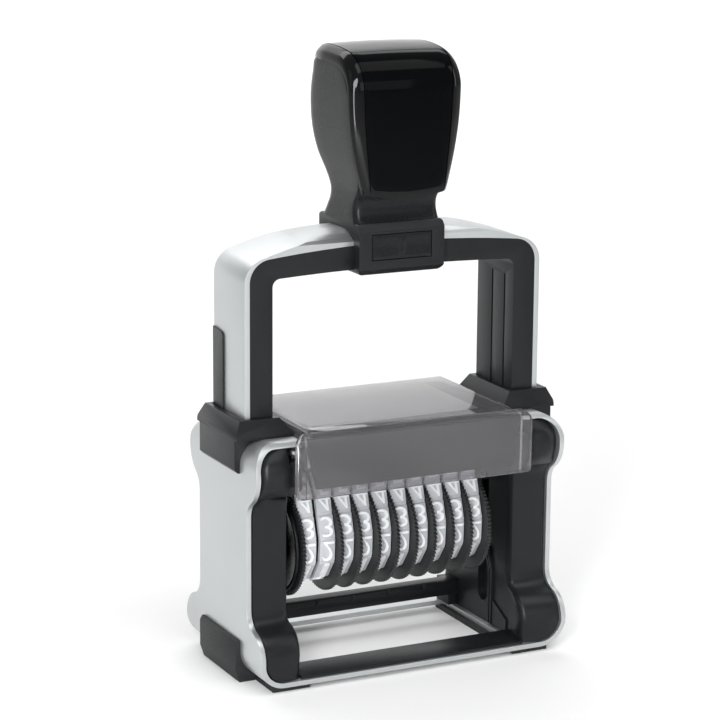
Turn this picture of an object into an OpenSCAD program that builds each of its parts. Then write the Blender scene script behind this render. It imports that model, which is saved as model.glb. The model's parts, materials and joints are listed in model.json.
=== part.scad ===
// Self-inking ten-band numbering stamp, press-down type, as separate sub-parts.
// Millimetres, +Z up, origin on the table at the centre of the base.

/* [Base] */
// overall width of the base shell
base_w = 82; // [70:0.5:95]
// height of the shell shoulders above the table
shoulder_z = 59.3; // [54:0.1:64]
// shell sheet thickness
sheet_t = 1.2; // [0.8:0.1:2]
// half depth of the waist of the base
waist_d = 13.9; // [12:0.1:16]
// half depth of the bottom flare
flare_d = 22.4; // [20:0.1:25]
// thickness of the rubber under the base
foot_t = 1.3; // [1:0.1:2]
// gap between the two shoulder sheets
shoulder_gap = 56; // [55:0.5:60]

/* [Yoke] */
// half width of the yoke over its legs
yoke_a = 39.1; // [36:0.1:42]
// half depth of the yoke
yoke_d = 8.9; // [7:0.1:11]
// height of the yoke crown above the table
yoke_top = 106.7; // [100:0.1:115]
// height of the yoke underside at the centre
yoke_under = 97.2; // [90:0.1:103]
// height of the foot of the legs
leg_foot = 33; // [32.5:0.1:38]
// press travel of the yoke
travel = 30; // [20:0.5:30]

/* [Carriage] */
// pitch of the number bands
band_pitch = 5; // [4.5:0.05:5.5]
// width of one band
band_w = 4; // [3:0.1:4.2]
// radius of the thumb wheels
wheel_r = 13; // [11:0.1:13.5]
// height of the wheel axle
axle_z = 30; // [28:0.1:32]
// teeth on each thumb wheel
wheel_teeth = 80; // [40:2:90]
// height of the print face
print_z = 52.1; // [50:0.1:53]
// radius of the pivot pins
pin_r = 2; // [1.5:0.1:2.2]

/* [Grip] */
// height of the grip top above the table
grip_top = 149.2; // [140:0.1:160]

/* [Hidden] */
$fn = 64;
e = 0.01;
ax = base_w / 2;
shell_z0 = foot_t;
shell_in_z = foot_t + sheet_t;
leg_in = 32;
rim_t = 1.3;
liner_x = yoke_a - rim_t;
wall_x = 30;
cav_x = 31.8;
cav_d = yoke_d + 0.3;
shoulder_x = shoulder_gap / 2;
foot_x = 27.5;
opening_x = 28.7;
corner_b = 6.5;
corner_t = 6;
bulge_y = 15.9;
bulge_z = 8;
top_bulge_y = 11.6;
top_bulge_z = 52;
top_bulge_r = 8;
waist_f = 5;
pivot_z = (print_z + travel) / 2;
first_right = -20.9;
n_bands = 10;
band_t = 1.7;
hub_r = 8.6;
band_in_r = hub_r + 0.3;
bar_d = 3;
bar_c = 0.7;
bar_z = print_z - band_t;
axle_r = 1.5;
plate_t = 1.2;
plate_l = -26.1;
plate_r = 25.5;
tie_y = 3.4;
tie_z = 45.2;
tie_r = 0.8;
spring_x = 35;
spring_y = 5.4;
spring_r = 1.9;
wire_r = 0.4;
spring_turns = 13;
spring_top = 60;
cover_front = -21.2;
cover_x = 27.5;
cover_top = 62.4;
cover_plate_x = 31;
cover_z0 = 46.3;
pad_z = print_z + 0.3;
pad_top = 56.9;
pad_x = 25.5;
pad_d = 7.9;
collar_top = 63.8;
crest_r = 115;
arch_r = 300;
window_r = 600;
crown_r = 15;
liner_top = 103;
yoke_corner = 6;
liner_corner = 5.5;
window_corner = 2;
slot_c = 0.4;
leg_c = 0.2;
button_z = 102.45;
button_x = 7.7;
button_h = 5.9;
housing_x = 11.2;
housing_z0 = 95.9;
housing_z1 = 108.1;
rail_x = 29.9;
rail_z0 = shell_in_z + 0.05;

silver = [0.79, 0.8, 0.81];
black = [0.14, 0.15, 0.17];
white = [0.88, 0.88, 0.9];
smoke = [0.35, 0.35, 0.37, 0.6];
steel = [0.7, 0.7, 0.72];

base_shell();
inner_frame_left();
inner_frame_right();
rail_front();
rail_rear();
foot_left();
foot_right();
collar_left();
collar_right();
spring_rods();
return_spring_left();
return_spring_right();
pad_cover();
pad_case();
ink_pad();
yoke_shell();
yoke_liner();
leg_strips();
lock_housing();
grip_core();
grip_window();
lock_button();
end_plate_left();
end_plate_right();
print_bar();
wheel_axle();
pivot_pins();
tie_rods();
wheel_1();
wheel_2();
wheel_3();
wheel_4();
wheel_5();
wheel_6();
wheel_7();
wheel_8();
wheel_9();
wheel_10();
band_1();
band_2();
band_3();
band_4();
band_5();
band_6();
band_7();
band_8();
band_9();
band_10();

// ---- helpers ----

// flat shape drawn in (y, z), extruded along X from x0 to x1
module along_x(x0, x1)
{
    translate([x0, 0, 0])
        rotate([90, 0, 90])
            linear_extrude(height = x1 - x0)
                children();
}

// flat shape drawn in (x, z), extruded along Y from y0 to y1
module along_y(y0, y1)
{
    translate([0, y1, 0])
        rotate([90, 0, 0])
            linear_extrude(height = y1 - y0)
                children();
}

module box_at(x0, x1, y0, y1, z0, z1)
{
    translate([x0, y0, z0])
        cube([x1 - x0, y1 - y0, z1 - z0]);
}

// box on the side given by s, from x0 to x1 out from the middle
module pair_box(s, x0, x1, y0, y1, z0, z1)
{
    box_at(min(s * x0, s * x1), max(s * x0, s * x1), y0, y1, z0, z1);
}

// round bar along X
module bar_x(x0, x1, y, z, r)
{
    translate([x0, y, z])
        rotate([0, 90, 0])
            cylinder(r = r, h = x1 - x0);
}

// round bar along Y
module bar_y(y0, y1, x, z, r)
{
    translate([x, y1, z])
        rotate([90, 0, 0])
            cylinder(r = r, h = y1 - y0);
}

// rounded rectangle from exact arcs, corner radii rb at the bottom and rt at the top
module rounded(x, z0, z1, rb, rt)
{
    for (s = [-1, 1]) {
        translate([s * (x - rb), z0 + rb])
            circle(r = rb);
        translate([s * (x - rt), z1 - rt])
            circle(r = rt);
    }
    translate([-x, z0 + rb])
        square([2 * x, z1 - z0 - rb - rt]);
    translate([-(x - rb), z0])
        square([2 * (x - rb), rb + e]);
    translate([-(x - rt), z1 - rt - e])
        square([2 * (x - rt), rt + e]);
}

// flat rectangle from its corners
module span(u0, u1, z0, z1)
{
    translate([u0, z0])
        square([u1 - u0, z1 - z0]);
}

// concave round of radius f from the waist w up or down to a bulge centred on (cy, cz)
module waist_fillet(w, f, fz, cy, cz)
{
    touch_y = w + f - f * (w + f - cy) / norm([w + f - cy, fz - cz]);
    mid_z = (fz + cz) / 2;
    difference() {
        span(w - 1, touch_y, min(fz, mid_z), max(fz, mid_z));
        translate([w + f, fz])
            circle(r = f);
    }
}

// half of the waisted side outline in (y, z), inset by g
module side_half(g)
{
    w = waist_d - g;
    f = waist_f;
    cb_r = flare_d - bulge_y - g;
    ct_r = top_bulge_r - g;
    fb_z = bulge_z + sqrt(pow(cb_r + f, 2) - pow(w + f - bulge_y, 2));
    ft_z = top_bulge_z - sqrt(pow(ct_r + f, 2) - pow(w + f - top_bulge_y, 2));
    polygon([[0, shell_z0], [flare_d - 0.9 - g, shell_z0], [flare_d - g, bulge_z], [0, bulge_z]]);
    span(0, w, bulge_z - e, top_bulge_z);
    span(0, top_bulge_y, top_bulge_z - e, shoulder_z);
    // the bulges overlap the fillets by a hair, so the outline is one region
    translate([bulge_y, bulge_z])
        circle(r = cb_r + e);
    translate([top_bulge_y, top_bulge_z])
        circle(r = ct_r + e);
    waist_fillet(w, f, fb_z, bulge_y, bulge_z);
    waist_fillet(w, f, ft_z, top_bulge_y, top_bulge_z);
}

module side_outline(g)
{
    intersection() {
        union() {
            side_half(g);
            mirror([1, 0])
                side_half(g);
        }
        span(-30, 30, shell_z0, shoulder_z);
    }
}

// ---- base ----

module shell_section()
{
    difference() {
        rounded(ax, shell_z0, shoulder_z, corner_b, corner_t);
        rounded(ax - sheet_t, shell_in_z, shoulder_z - sheet_t, corner_b - sheet_t, corner_t - sheet_t);
        translate([-shoulder_x, shoulder_z - 10])
            square([shoulder_gap, 20]);
    }
}

module base_shell()
{
    opening_front = -13;
    opening_rear = 18.1;
    color(silver)
        difference() {
            intersection() {
                along_y(-25, 25)
                    shell_section();
                along_x(-ax - 1, ax + 1)
                    side_outline(0);
            }
            box_at(-opening_x, opening_x, opening_front, opening_rear, 0, shell_in_z + 1);
            for (s = [-1, 1])
                pair_box(s, leg_in - 0.4, ax - sheet_t, -cav_d, cav_d, shoulder_z - 5, shoulder_z + 1);
        }
}

// right-hand side frame, mirrored for the left
module inner_frame()
{
    edge = ax - sheet_t - 0.05;
    color(black)
        difference() {
            intersection() {
                union() {
                    along_x(wall_x, edge)
                        side_outline(0.5);
                    // shoulder block reaches in to the cartridge
                    intersection() {
                        along_x(shoulder_x, edge)
                            side_outline(0.5);
                        box_at(shoulder_x, edge, -25, 25, 45.5, shoulder_z);
                    }
                }
                along_y(-25, 25)
                    rounded(edge, shell_in_z + 0.05, shoulder_z - sheet_t - 0.05,
                        corner_b - sheet_t, corner_t - sheet_t);
            }
            // well the leg slides in
            box_at(cav_x, edge + 1, -cav_d, cav_d, shell_in_z - 1, shoulder_z + 1);
            // slot the pivot pin runs in
            for (z = [pivot_z + 1, pivot_z - travel - 1])
                bar_x(shoulder_x - 1, cav_x + 1, 0, z, pin_r + slot_c);
            box_at(shoulder_x - 1, cav_x + 1, -pin_r - slot_c, pin_r + slot_c,
                pivot_z - travel - 1, pivot_z + 1);
            // groove for the cartridge runner
            box_at(shoulder_x - 1, 30.2, -25, 25, 54.6, 56.9);
            // relief for the front plate of the cartridge
            box_at(shoulder_x - 1, cover_plate_x + 0.3, -25, cover_front + 3.2, cover_z0 - 1, 62);
            // relief for the end plates of the carriage
            box_at(shoulder_x - 1, shoulder_x + 0.3, -25, 25, 45, 50);
            // cove at the foot of the side wall, front and rear
            for (s = [-1, 1])
                translate([wall_x - 3.4, s * 18.2, 0])
                    cylinder(r = 6, h = 17);
        }
}

module inner_frame_right()
{
    inner_frame();
}

module inner_frame_left()
{
    mirror([1, 0, 0])
        inner_frame();
}

module rail_front()
{
    front = -20.9;
    rear = -12.6;
    top_z = 3.9;
    color(black) {
        along_x(-rail_x, rail_x)
            polygon([[front, rail_z0], [front, rail_z0 + 0.55], [rear - 0.7, top_z], [rear, top_z - 0.2],
                [rear, rail_z0]]);
        // lip over the edge of the floor opening
        box_at(-opening_x + 0.2, opening_x - 0.2, rear - 0.35, rear, rail_z0 - 0.55, rail_z0 + 0.1);
    }
}

module rail_rear()
{
    front = 13;
    web_t = 1.6;
    flange = 3.6;
    low_z = 5.4;
    top_z = 9.4;
    color(black)
        difference() {
            union() {
                along_x(-rail_x, rail_x)
                    polygon([[front, low_z], [front, top_z - 0.4], [front + 0.6, top_z],
                        [front + flange, top_z], [front + flange, top_z - 1.2],
                        [front + web_t, top_z - 1.2], [front + web_t, low_z]]);
                // feet at both ends
                for (s = [-1, 1])
                    pair_box(s, foot_x, rail_x, front + 0.4, 19.8, rail_z0, top_z - 0.6);
            }
            for (i = [-2:2])
                translate([i * 10, front, top_z - 0.5])
                    rotate([0, 0, 45])
                        cube([0.5, 0.5, 2], center = true);
        }
}

// outline of the rubber foot in (x, z), right-hand side
module foot_section()
{
    difference() {
        union() {
            span(foot_x, 38, 0, foot_t);
            polygon([[37.5, 0], [41.2, 0], [42.2, 3], [42.2, 9.4], [41.6, 10.4], [40.6, 10.4], [34, 1.2]]);
        }
        rounded(ax, shell_z0, shoulder_z, corner_b, corner_t);
    }
}

module foot()
{
    color(black) {
        along_y(-10.2, 11.4)
            foot_section();
        for (s = [-1, 1])
            along_y(min(s * 10, s * 20.2), max(s * 10, s * 20.2))
                span(foot_x, 37, 0, foot_t);
    }
}

module foot_right()
{
    foot();
}

module foot_left()
{
    mirror([1, 0, 0])
        foot();
}

module collar()
{
    edge = ax + 1.4;
    inner = shoulder_x + 0.1;
    foot_d = 11.8;
    top_d = 10.2;
    skirt_d = 10.3;
    skirt_z = 51.4;
    lip_z = shoulder_z + 0.8;
    color(black)
        difference() {
            union() {
                intersection() {
                    along_y(-foot_d, foot_d)
                        polygon([[inner, shoulder_z], [inner, lip_z], [inner + 2.7, collar_top],
                            [edge - 1.4, collar_top], [edge, lip_z + 0.7], [edge, shoulder_z]]);
                    along_x(shoulder_x, edge)
                        polygon([[-foot_d, shoulder_z], [-foot_d, lip_z], [-top_d, collar_top],
                            [top_d, collar_top], [foot_d, lip_z], [foot_d, shoulder_z]]);
                }
                // skirt over the outside of the shell
                box_at(ax, edge, -skirt_d, skirt_d, skirt_z, shoulder_z + 1);
                // filler over the rounded shoulder of the shell
                difference() {
                    box_at(ax - corner_t, edge, -skirt_d, skirt_d, shoulder_z - corner_t, shoulder_z + 1);
                    along_y(-30, 30)
                        rounded(ax, shell_z0, shoulder_z, corner_b, corner_t);
                }
            }
            box_at(leg_in - 0.1, yoke_a + 0.12, -yoke_d - 0.1, yoke_d + 0.1, 40, 80);
            // relief for the strip on the leg
            box_at(yoke_a - 1, yoke_a + 0.65, 2.4, yoke_d + 0.1, 40, 80);
            // bevelled end of the skirt
            translate([edge, 0, skirt_z])
                rotate([0, 45, 0])
                    cube([1.2, 40, 1.2], center = true);
        }
}

module collar_right()
{
    collar();
}

module collar_left()
{
    mirror([1, 0, 0])
        collar();
}

module spring_rods()
{
    color(steel)
        for (s = [-1, 1])
            intersection() {
                translate([s * spring_x, spring_y, shell_in_z]) {
                    cylinder(r = 2.2, h = 1);
                    cylinder(r = 1.1, h = 26);
                }
                // inner round of the shell that the seats stand in
                along_y(-spring_y - 4, spring_y + 4)
                    rounded(ax - sheet_t, shell_in_z, shoulder_z - sheet_t,
                        corner_b - sheet_t, corner_t - sheet_t);
            }
}

module return_spring(x)
{
    z0 = shell_in_z + 1.05;
    color(steel)
        translate([x, spring_y, z0])
            linear_extrude(height = spring_top - z0, twist = -360 * spring_turns,
                slices = 12 * spring_turns, $fn = 8)
                translate([spring_r, 0])
                    circle(r = wire_r, $fn = 8);
}

module return_spring_left()
{
    return_spring(-spring_x);
}

module return_spring_right()
{
    return_spring(spring_x);
}

// ---- ink cartridge ----

module pad_cover()
{
    wall = 0.9;
    plate_top = 61.8;
    bevel_y = -15.5;
    rear = 18.5;
    room_x = 28.6;
    color(smoke) {
        // wide front plate with rounded corners
        difference() {
            intersection() {
                along_y(cover_front, cover_front + 2)
                    rounded(cover_plate_x, cover_z0, plate_top, 1.2, 3);
                along_x(-cover_plate_x - 1, cover_plate_x + 1)
                    polygon([[cover_front, cover_z0], [cover_front, plate_top - 1.4],
                        [cover_front + 2, plate_top], [cover_front + 3, plate_top],
                        [cover_front + 3, cover_z0]]);
            }
            box_at(-room_x, room_x, cover_front + 1, cover_front + 3, cover_z0 - 1, plate_top - 1.2);
        }
        // body between the shoulders
        difference() {
            intersection() {
                along_y(cover_front + 1.2, rear)
                    rounded(cover_x, cover_z0 - 6, cover_top, 2, 2.2);
                along_x(-cover_x - 1, cover_x + 1)
                    polygon([[cover_front + 0.8, pad_z + 1], [cover_front + 0.8, plate_top - 0.8],
                        [bevel_y, cover_top], [rear - 2.5, cover_top], [rear, cover_top - 2],
                        [rear, pad_z + 1]]);
            }
            intersection() {
                along_y(cover_front + 1, rear - wall)
                    rounded(cover_x - wall, cover_z0 - 6, cover_top - wall, 2, 1.6);
                along_x(-cover_x, cover_x)
                    polygon([[cover_front + 1, cover_z0 - 1], [cover_front + 1, plate_top - 1.6],
                        [bevel_y - 0.1, cover_top - wall], [rear - 2.7, cover_top - wall],
                        [rear - wall, cover_top - 2.4], [rear - wall, cover_z0 - 1]]);
            }
            // room for the tapered face of the case
            box_at(-room_x, room_x, cover_front, -18.3, cover_z0 - 1, plate_top - 1.5);
        }
        // runners in the frame grooves
        for (s = [-1, 1])
            pair_box(s, cover_x - 0.5, rail_x, -15, 15, 54.9, 56.6);
    }
}

module pad_case()
{
    front = -18.5;
    top_z = 60.4;
    face_z0 = 48.3;
    color(black)
        difference() {
            union() {
                box_at(-26.4, 26.4, front, 16.8, pad_z + 0.1, top_z);
                // tapered face behind the front plate
                along_y(cover_front + 1.3, front + 0.1)
                    polygon([[-25.6, face_z0], [25.6, face_z0], [28.4, top_z - 0.2], [-28.4, top_z - 0.2]]);
            }
            // pocket for the pad
            box_at(-pad_x - 0.1, pad_x + 0.1, -pad_d - 0.1, pad_d + 0.1, pad_z - 1, pad_top + 0.1);
            // finger hollow at the rear
            translate([0, 18.5, top_z - 0.4])
                sphere(r = 4);
        }
}

module ink_pad()
{
    color([0.12, 0.12, 0.3])
        difference() {
            box_at(-pad_x, pad_x, -pad_d, pad_d, pad_z, pad_top);
            // ink channels across the back of the pad
            for (i = [-4:4])
                box_at(i * 5 - 0.15, i * 5 + 0.15, -pad_d - 1, pad_d + 1, pad_top - 0.3, pad_top + 1);
        }
}

// ---- yoke ----

// closed outline in (x, z): straight legs, round corners, large top arc
function arch_points(x, z0, top, rc, r) =
    let (zc = top - r + sqrt(pow(r - rc, 2) - pow(x - rc, 2)), t = atan2(zc - top + r, x - rc))
    concat(
        [[-x, z0], [x, z0]],
        [for (i = [0:10]) [x - rc + rc * cos(i * t / 10), zc + rc * sin(i * t / 10)]],
        [for (i = [1:23]) let (q = t + (180 - 2 * t) * i / 24) [r * cos(q), top - r + r * sin(q)]],
        [for (i = [10:-1:0]) [-x + rc - rc * cos(i * t / 10), zc + rc * sin(i * t / 10)]]
    );

// room between the base's rounded lower corners at the end of the stroke, raised by the travel
module leg_room()
{
    along_y(-2 * yoke_d, 2 * yoke_d)
        rounded(ax - sheet_t - leg_c, shell_in_z + travel + leg_c, grip_top,
            corner_b - sheet_t - leg_c, corner_t);
}

// solid block of the yoke before it is split into shell and liner
module yoke_block()
{
    intersection() {
        along_y(-yoke_d, yoke_d)
            polygon(arch_points(yoke_a, leg_foot, yoke_top, yoke_corner, crest_r));
        // crowned top, drawn in (y, z)
        along_x(-yoke_a - 1, yoke_a + 1)
            union() {
                translate([-yoke_d, 0])
                    square([2 * yoke_d, 100]);
                intersection() {
                    translate([-yoke_d, 90])
                        square([2 * yoke_d, 30]);
                    translate([0, yoke_top - crown_r])
                        circle(r = crown_r, $fn = 180);
                }
            }
    }
}

// the yoke block with its window cut out, which the lock housing fits round
module yoke_block_solid()
{
    difference() {
        yoke_block();
        along_y(-yoke_d - 1, yoke_d + 1)
            polygon(arch_points(leg_in, leg_foot - 5, yoke_under, window_corner, window_r));
    }
}

// pocket that the lock button slides in
module button_pocket()
{
    gap = 0.2;
    half_h = button_h / 2 + gap;
    box_at(-button_x - gap, button_x + gap, -13, -6.5, button_z - half_h, button_z + half_h);
}

module yoke_shell()
{
    color(silver)
        difference() {
            intersection() {
                yoke_block();
                leg_room();
            }
            along_y(-yoke_d - 1, yoke_d + 1)
                polygon(arch_points(liner_x, leg_foot - 5, liner_top, liner_corner, arch_r));
            button_pocket();
        }
}

module yoke_liner()
{
    groove_w = 0.7;
    groove_top = 92;
    color(black)
        difference() {
            intersection() {
                along_y(-yoke_d, yoke_d)
                    difference() {
                        polygon(arch_points(liner_x, leg_foot, liner_top, liner_corner, arch_r));
                        polygon(arch_points(leg_in, leg_foot - 5, yoke_under, window_corner, window_r));
                    }
                leg_room();
            }
            button_pocket();
            for (s = [-1, 1]) {
                // two grooves down the inside of each leg
                for (y = [-4.6, 1.4])
                    pair_box(s, leg_in - 1, leg_in + 0.6, y - groove_w / 2, y + groove_w / 2,
                        leg_foot - 5, groove_top);
                // spring bore
                translate([s * spring_x, spring_y, 20])
                    cylinder(r = 2.5, h = spring_top - 20 + 0.1);
                // pivot bore
                bar_x(min(s * 30, s * 34), max(s * 30, s * 34), 0, pivot_z, pin_r + 0.05);
            }
        }
}

module leg_strips()
{
    strip_t = 0.4;
    front = 2.8;
    low_z = leg_foot + 4;
    top_z = 82.8;
    color(black)
        for (s = [-1, 1])
            along_x(min(s * yoke_a, s * (yoke_a + strip_t)), max(s * yoke_a, s * (yoke_a + strip_t)))
                polygon([[front, low_z], [front, top_z - 1.3], [front + 0.8, top_z - 0.6], [yoke_d, top_z],
                    [yoke_d, low_z]]);
}

module lock_housing()
{
    front = -12;
    rear = 9.9;
    color(black)
        difference() {
            intersection() {
                along_x(-housing_x, housing_x)
                    polygon([[front + 1.4, housing_z0], [front + 0.1, housing_z0 + 1.3],
                        [front, housing_z1 - 1.7],
                        [front + 1.2, housing_z1], [rear - 0.3, housing_z1], [rear, housing_z1 - 0.5],
                        [rear, housing_z0 + 1.3], [rear - 1, housing_z0]]);
                along_y(front - 1, rear + 1)
                    rounded(housing_x, housing_z0, housing_z1, 1.4, 0.8);
            }
            yoke_block_solid();
            button_pocket();
        }
}

module lock_button()
{
    front = -12.5;
    rear = -9.4;
    line_w = 0.3;
    line_x = button_x - 0.8;
    line_h = button_h / 2 - 0.6;
    color(black)
        difference() {
            union() {
                box_at(-button_x, button_x, front, rear, button_z - button_h / 2, button_z + button_h / 2);
                // plunger behind the button
                bar_y(rear - 0.1, rear + 1.5, 0, button_z, 1.5);
            }
            // shallow rim line round the button face
            along_y(front - 1, front + 0.15)
                difference() {
                    span(-line_x, line_x, button_z - line_h, button_z + line_h);
                    span(-line_x + line_w, line_x - line_w,
                        button_z - line_h + line_w, button_z + line_h - line_w);
                }
        }
}

// ---- grip ----

// sections up the grip: height, half width, front, rear, front corner, rear corner
grip_rows = [
    [108.1, 11.2, -9.6, 9.9, 3, 4],
    [110.5, 11.1, -9.4, 8.8, 3, 4],
    [113.5, 11, -10, 7.1, 3, 4],
    [115.8, 11.1, -14.3, 7.1, 2.4, 4.2],
    [118.5, 11.8, -14.7, 8.2, 2.4, 4.8],
    [123.5, 13, -14.7, 11.3, 2.6, 6],
    [129, 13.9, -14.7, 12.6, 3, 6.5],
    [135, 14.5, -14.7, 12.6, 3.2, 7],
    [140.5, 14.6, -14.2, 11.9, 3.4, 7],
    [grip_top - 3.9, 14.3, -12.4, 10, 3.4, 6],
    [grip_top - 1.2, 13, -8.8, 7.6, 3.4, 5],
    [grip_top, 10.8, -5.4, 5.2, 3, 4.5]];
corner_n = 7;

// one closed ring of points for a section row
function grip_ring(g) = [
    for (q = [0:3], i = [0:corner_n])
        let (rear = q == 1 || q == 2, r = rear ? g[5] : g[4], t = -90 + 90 * q + 90 * i / corner_n)
        [(q < 2 ? 1 : -1) * (g[1] - r) + r * cos(t), (rear ? g[3] - r : g[2] + r) + r * sin(t), g[0]]
];

module grip_body()
{
    n = 4 * (corner_n + 1);
    m = len(grip_rows);
    pts = [for (g = grip_rows) each grip_ring(g)];
    sides = [
        for (k = [0:m - 2], i = [0:n - 1])
            let (a = k * n + i, b = k * n + (i + 1) % n)
            each [[a, a + n, b], [b, a + n, b + n]]
    ];
    foot = [for (i = [0:n - 1]) i];
    top = [for (i = [n - 1:-1:0]) (m - 1) * n + i];
    polyhedron(points = pts, faces = concat([foot], sides, [top]));
}

module grip_core()
{
    color(black)
        difference() {
            grip_body();
            // seat of the front window
            grip_window_solid(0.05);
        }
}

// plate let into the face of the grip, wider at the top; g grows it all round
module grip_window_solid(g)
{
    half_low = 9.6;
    half_high = 11.2;
    face = -14.9;
    depth = 1.4;
    z0 = 117.4;
    z1 = 140.4;
    along_y(face, face + depth + g)
        polygon([[-half_low - g, z0 - g], [half_low + g, z0 - g], [half_high + g, z1 + g],
            [-half_high - g, z1 + g]]);
}

module grip_window()
{
    color([0.05, 0.05, 0.06])
        grip_window_solid(0);
}

// ---- carriage ----

module end_plate(x0, disc_r)
{
    color(black)
        difference() {
            along_x(x0, x0 + plate_t)
                union() {
                    translate([0, axle_z])
                        circle(r = disc_r);
                    polygon([[-8, axle_z], [8, axle_z], [5.2, 44], [4, 50], [-4, 50], [-5.2, 44]]);
                }
            bar_x(x0 - 1, x0 + plate_t + 1, 0, axle_z, axle_r);
            bar_x(x0 - 1, x0 + plate_t + 1, 0, pivot_z, pin_r);
            for (y = [-tie_y, tie_y])
                bar_x(x0 - 1, x0 + plate_t + 1, y, tie_z, tie_r);
        }
}

module end_plate_left()
{
    end_plate(plate_l - plate_t, 12);
}

module end_plate_right()
{
    end_plate(plate_r, 9.6);
}

module print_bar()
{
    web_d = 1.2;
    web_z = axle_z + wheel_r + 0.4;
    shelf_z = bar_z - 3.2;
    color(black)
        along_x(plate_l, plate_r)
            polygon([[-web_d, web_z], [-web_d, shelf_z], [-bar_d, shelf_z], [-bar_d, bar_z - bar_c],
                [-bar_d + bar_c, bar_z], [bar_d - bar_c, bar_z], [bar_d, bar_z - bar_c], [bar_d, shelf_z],
                [web_d, shelf_z], [web_d, web_z]]);
}

module wheel_axle()
{
    color(steel) {
        bar_x(plate_l - plate_t - 0.3, plate_r + plate_t + 0.3, 0, axle_z, axle_r);
        for (x = [plate_l - plate_t - 0.5, plate_r + plate_t])
            bar_x(x, x + 0.5, 0, axle_z, 2.4);
    }
}

module pivot_pins()
{
    color(steel)
        for (x = [plate_l - plate_t - 6.2, plate_r])
            bar_x(x, x + 7.4, 0, pivot_z, pin_r);
}

module tie_rods()
{
    color(steel)
        for (y = [-tie_y, tie_y])
            bar_x(plate_l - plate_t, plate_r + plate_t, y, tie_z, tie_r);
}

// toothed thumb wheel with a hub; rim on the side given by left
module wheel(right_edge, left)
{
    rim_w = 0.8;
    x_rim = left ? right_edge - band_w - rim_w - 0.1 : right_edge + 0.1;
    x_hub = left ? right_edge - band_w - 0.2 : right_edge - band_w + 0.1;
    step = 360 / wheel_teeth;
    tooth_d = 0.65;
    tooth_w = 2 * PI * wheel_r / wheel_teeth;
    color(black)
        difference() {
            union() {
                along_x(x_rim, x_rim + rim_w)
                    translate([0, axle_z])
                        union() {
                            circle(r = wheel_r - tooth_d + 0.1);
                            for (i = [0:wheel_teeth - 1])
                                rotate([0, 0, i * step])
                                    polygon([[wheel_r - tooth_d, -0.42 * tooth_w], [wheel_r, 0.1 * tooth_w],
                                        [wheel_r - 0.1, 0.3 * tooth_w], [wheel_r - tooth_d, 0.42 * tooth_w]]);
                        }
                bar_x(x_hub, x_hub + band_w, 0, axle_z, hub_r);
            }
            bar_x(x_rim - 10, x_rim + 10, 0, axle_z, axle_r + 0.05);
        }
}

module wheel_1()
{
    wheel(first_right, true);
}

module wheel_2()
{
    wheel(first_right + band_pitch, false);
}

module wheel_3()
{
    wheel(first_right + 2 * band_pitch, false);
}

module wheel_4()
{
    wheel(first_right + 3 * band_pitch, false);
}

module wheel_5()
{
    wheel(first_right + 4 * band_pitch, false);
}

module wheel_6()
{
    wheel(first_right + 5 * band_pitch, false);
}

module wheel_7()
{
    wheel(first_right + 6 * band_pitch, false);
}

module wheel_8()
{
    wheel(first_right + 7 * band_pitch, false);
}

module wheel_9()
{
    wheel(first_right + 8 * band_pitch, false);
}

module wheel_10()
{
    wheel(first_right + 9 * band_pitch, false);
}

// loop of a band in (y, z): wheel end of radius r, bar end half depth d and top z
module band_loop(r, d, z, rc)
{
    hull() {
        translate([0, axle_z])
            circle(r = r, $fn = 96);
        for (s = [-1, 1])
            translate([s * (d - rc), z - rc])
                circle(r = rc, $fn = 32);
    }
}

module band(right_edge)
{
    color(white)
        along_x(right_edge - band_w, right_edge)
            difference() {
                band_loop(band_in_r + band_t, bar_d + band_t, print_z, 1.6 + band_t * 0.4);
                band_loop(band_in_r, bar_d, bar_z, 0.6);
            }
}

module band_1()
{
    band(first_right);
}

module band_2()
{
    band(first_right + band_pitch);
}

module band_3()
{
    band(first_right + 2 * band_pitch);
}

module band_4()
{
    band(first_right + 3 * band_pitch);
}

module band_5()
{
    band(first_right + 4 * band_pitch);
}

module band_6()
{
    band(first_right + 5 * band_pitch);
}

module band_7()
{
    band(first_right + 6 * band_pitch);
}

module band_8()
{
    band(first_right + 7 * band_pitch);
}

module band_9()
{
    band(first_right + 8 * band_pitch);
}

module band_10()
{
    band(first_right + 9 * band_pitch);
}
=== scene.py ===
import json
import math

import bmesh
import bpy
from mathutils import Matrix, Vector


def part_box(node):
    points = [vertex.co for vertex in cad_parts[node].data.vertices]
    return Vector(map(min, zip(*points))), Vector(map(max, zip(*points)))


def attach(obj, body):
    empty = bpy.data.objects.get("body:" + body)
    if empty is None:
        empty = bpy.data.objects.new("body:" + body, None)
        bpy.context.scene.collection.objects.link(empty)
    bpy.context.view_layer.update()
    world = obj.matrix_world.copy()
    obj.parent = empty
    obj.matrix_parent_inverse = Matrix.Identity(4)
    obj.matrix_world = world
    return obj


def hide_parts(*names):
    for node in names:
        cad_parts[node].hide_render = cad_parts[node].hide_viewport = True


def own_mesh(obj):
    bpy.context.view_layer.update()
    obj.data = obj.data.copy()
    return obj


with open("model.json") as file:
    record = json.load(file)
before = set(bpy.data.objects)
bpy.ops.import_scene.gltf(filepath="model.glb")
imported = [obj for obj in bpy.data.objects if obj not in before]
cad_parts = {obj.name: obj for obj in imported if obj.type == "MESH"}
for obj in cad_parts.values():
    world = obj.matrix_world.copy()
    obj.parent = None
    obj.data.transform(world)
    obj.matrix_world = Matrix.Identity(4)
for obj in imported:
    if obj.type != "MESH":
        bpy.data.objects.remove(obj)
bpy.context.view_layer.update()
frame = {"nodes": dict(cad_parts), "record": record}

# Shapes below are worked out in millimetres and written to the meshes in metres.
MM = 0.001
nodes = frame["nodes"]


def cad(node):
    """Lowest and highest corner of a CAD node in millimetres."""
    low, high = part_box(node)
    return low / MM, high / MM


# ---------------------------------------------------------------- small tools

def lerp(a, b, t):
    return a + (b - a) * t


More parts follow.
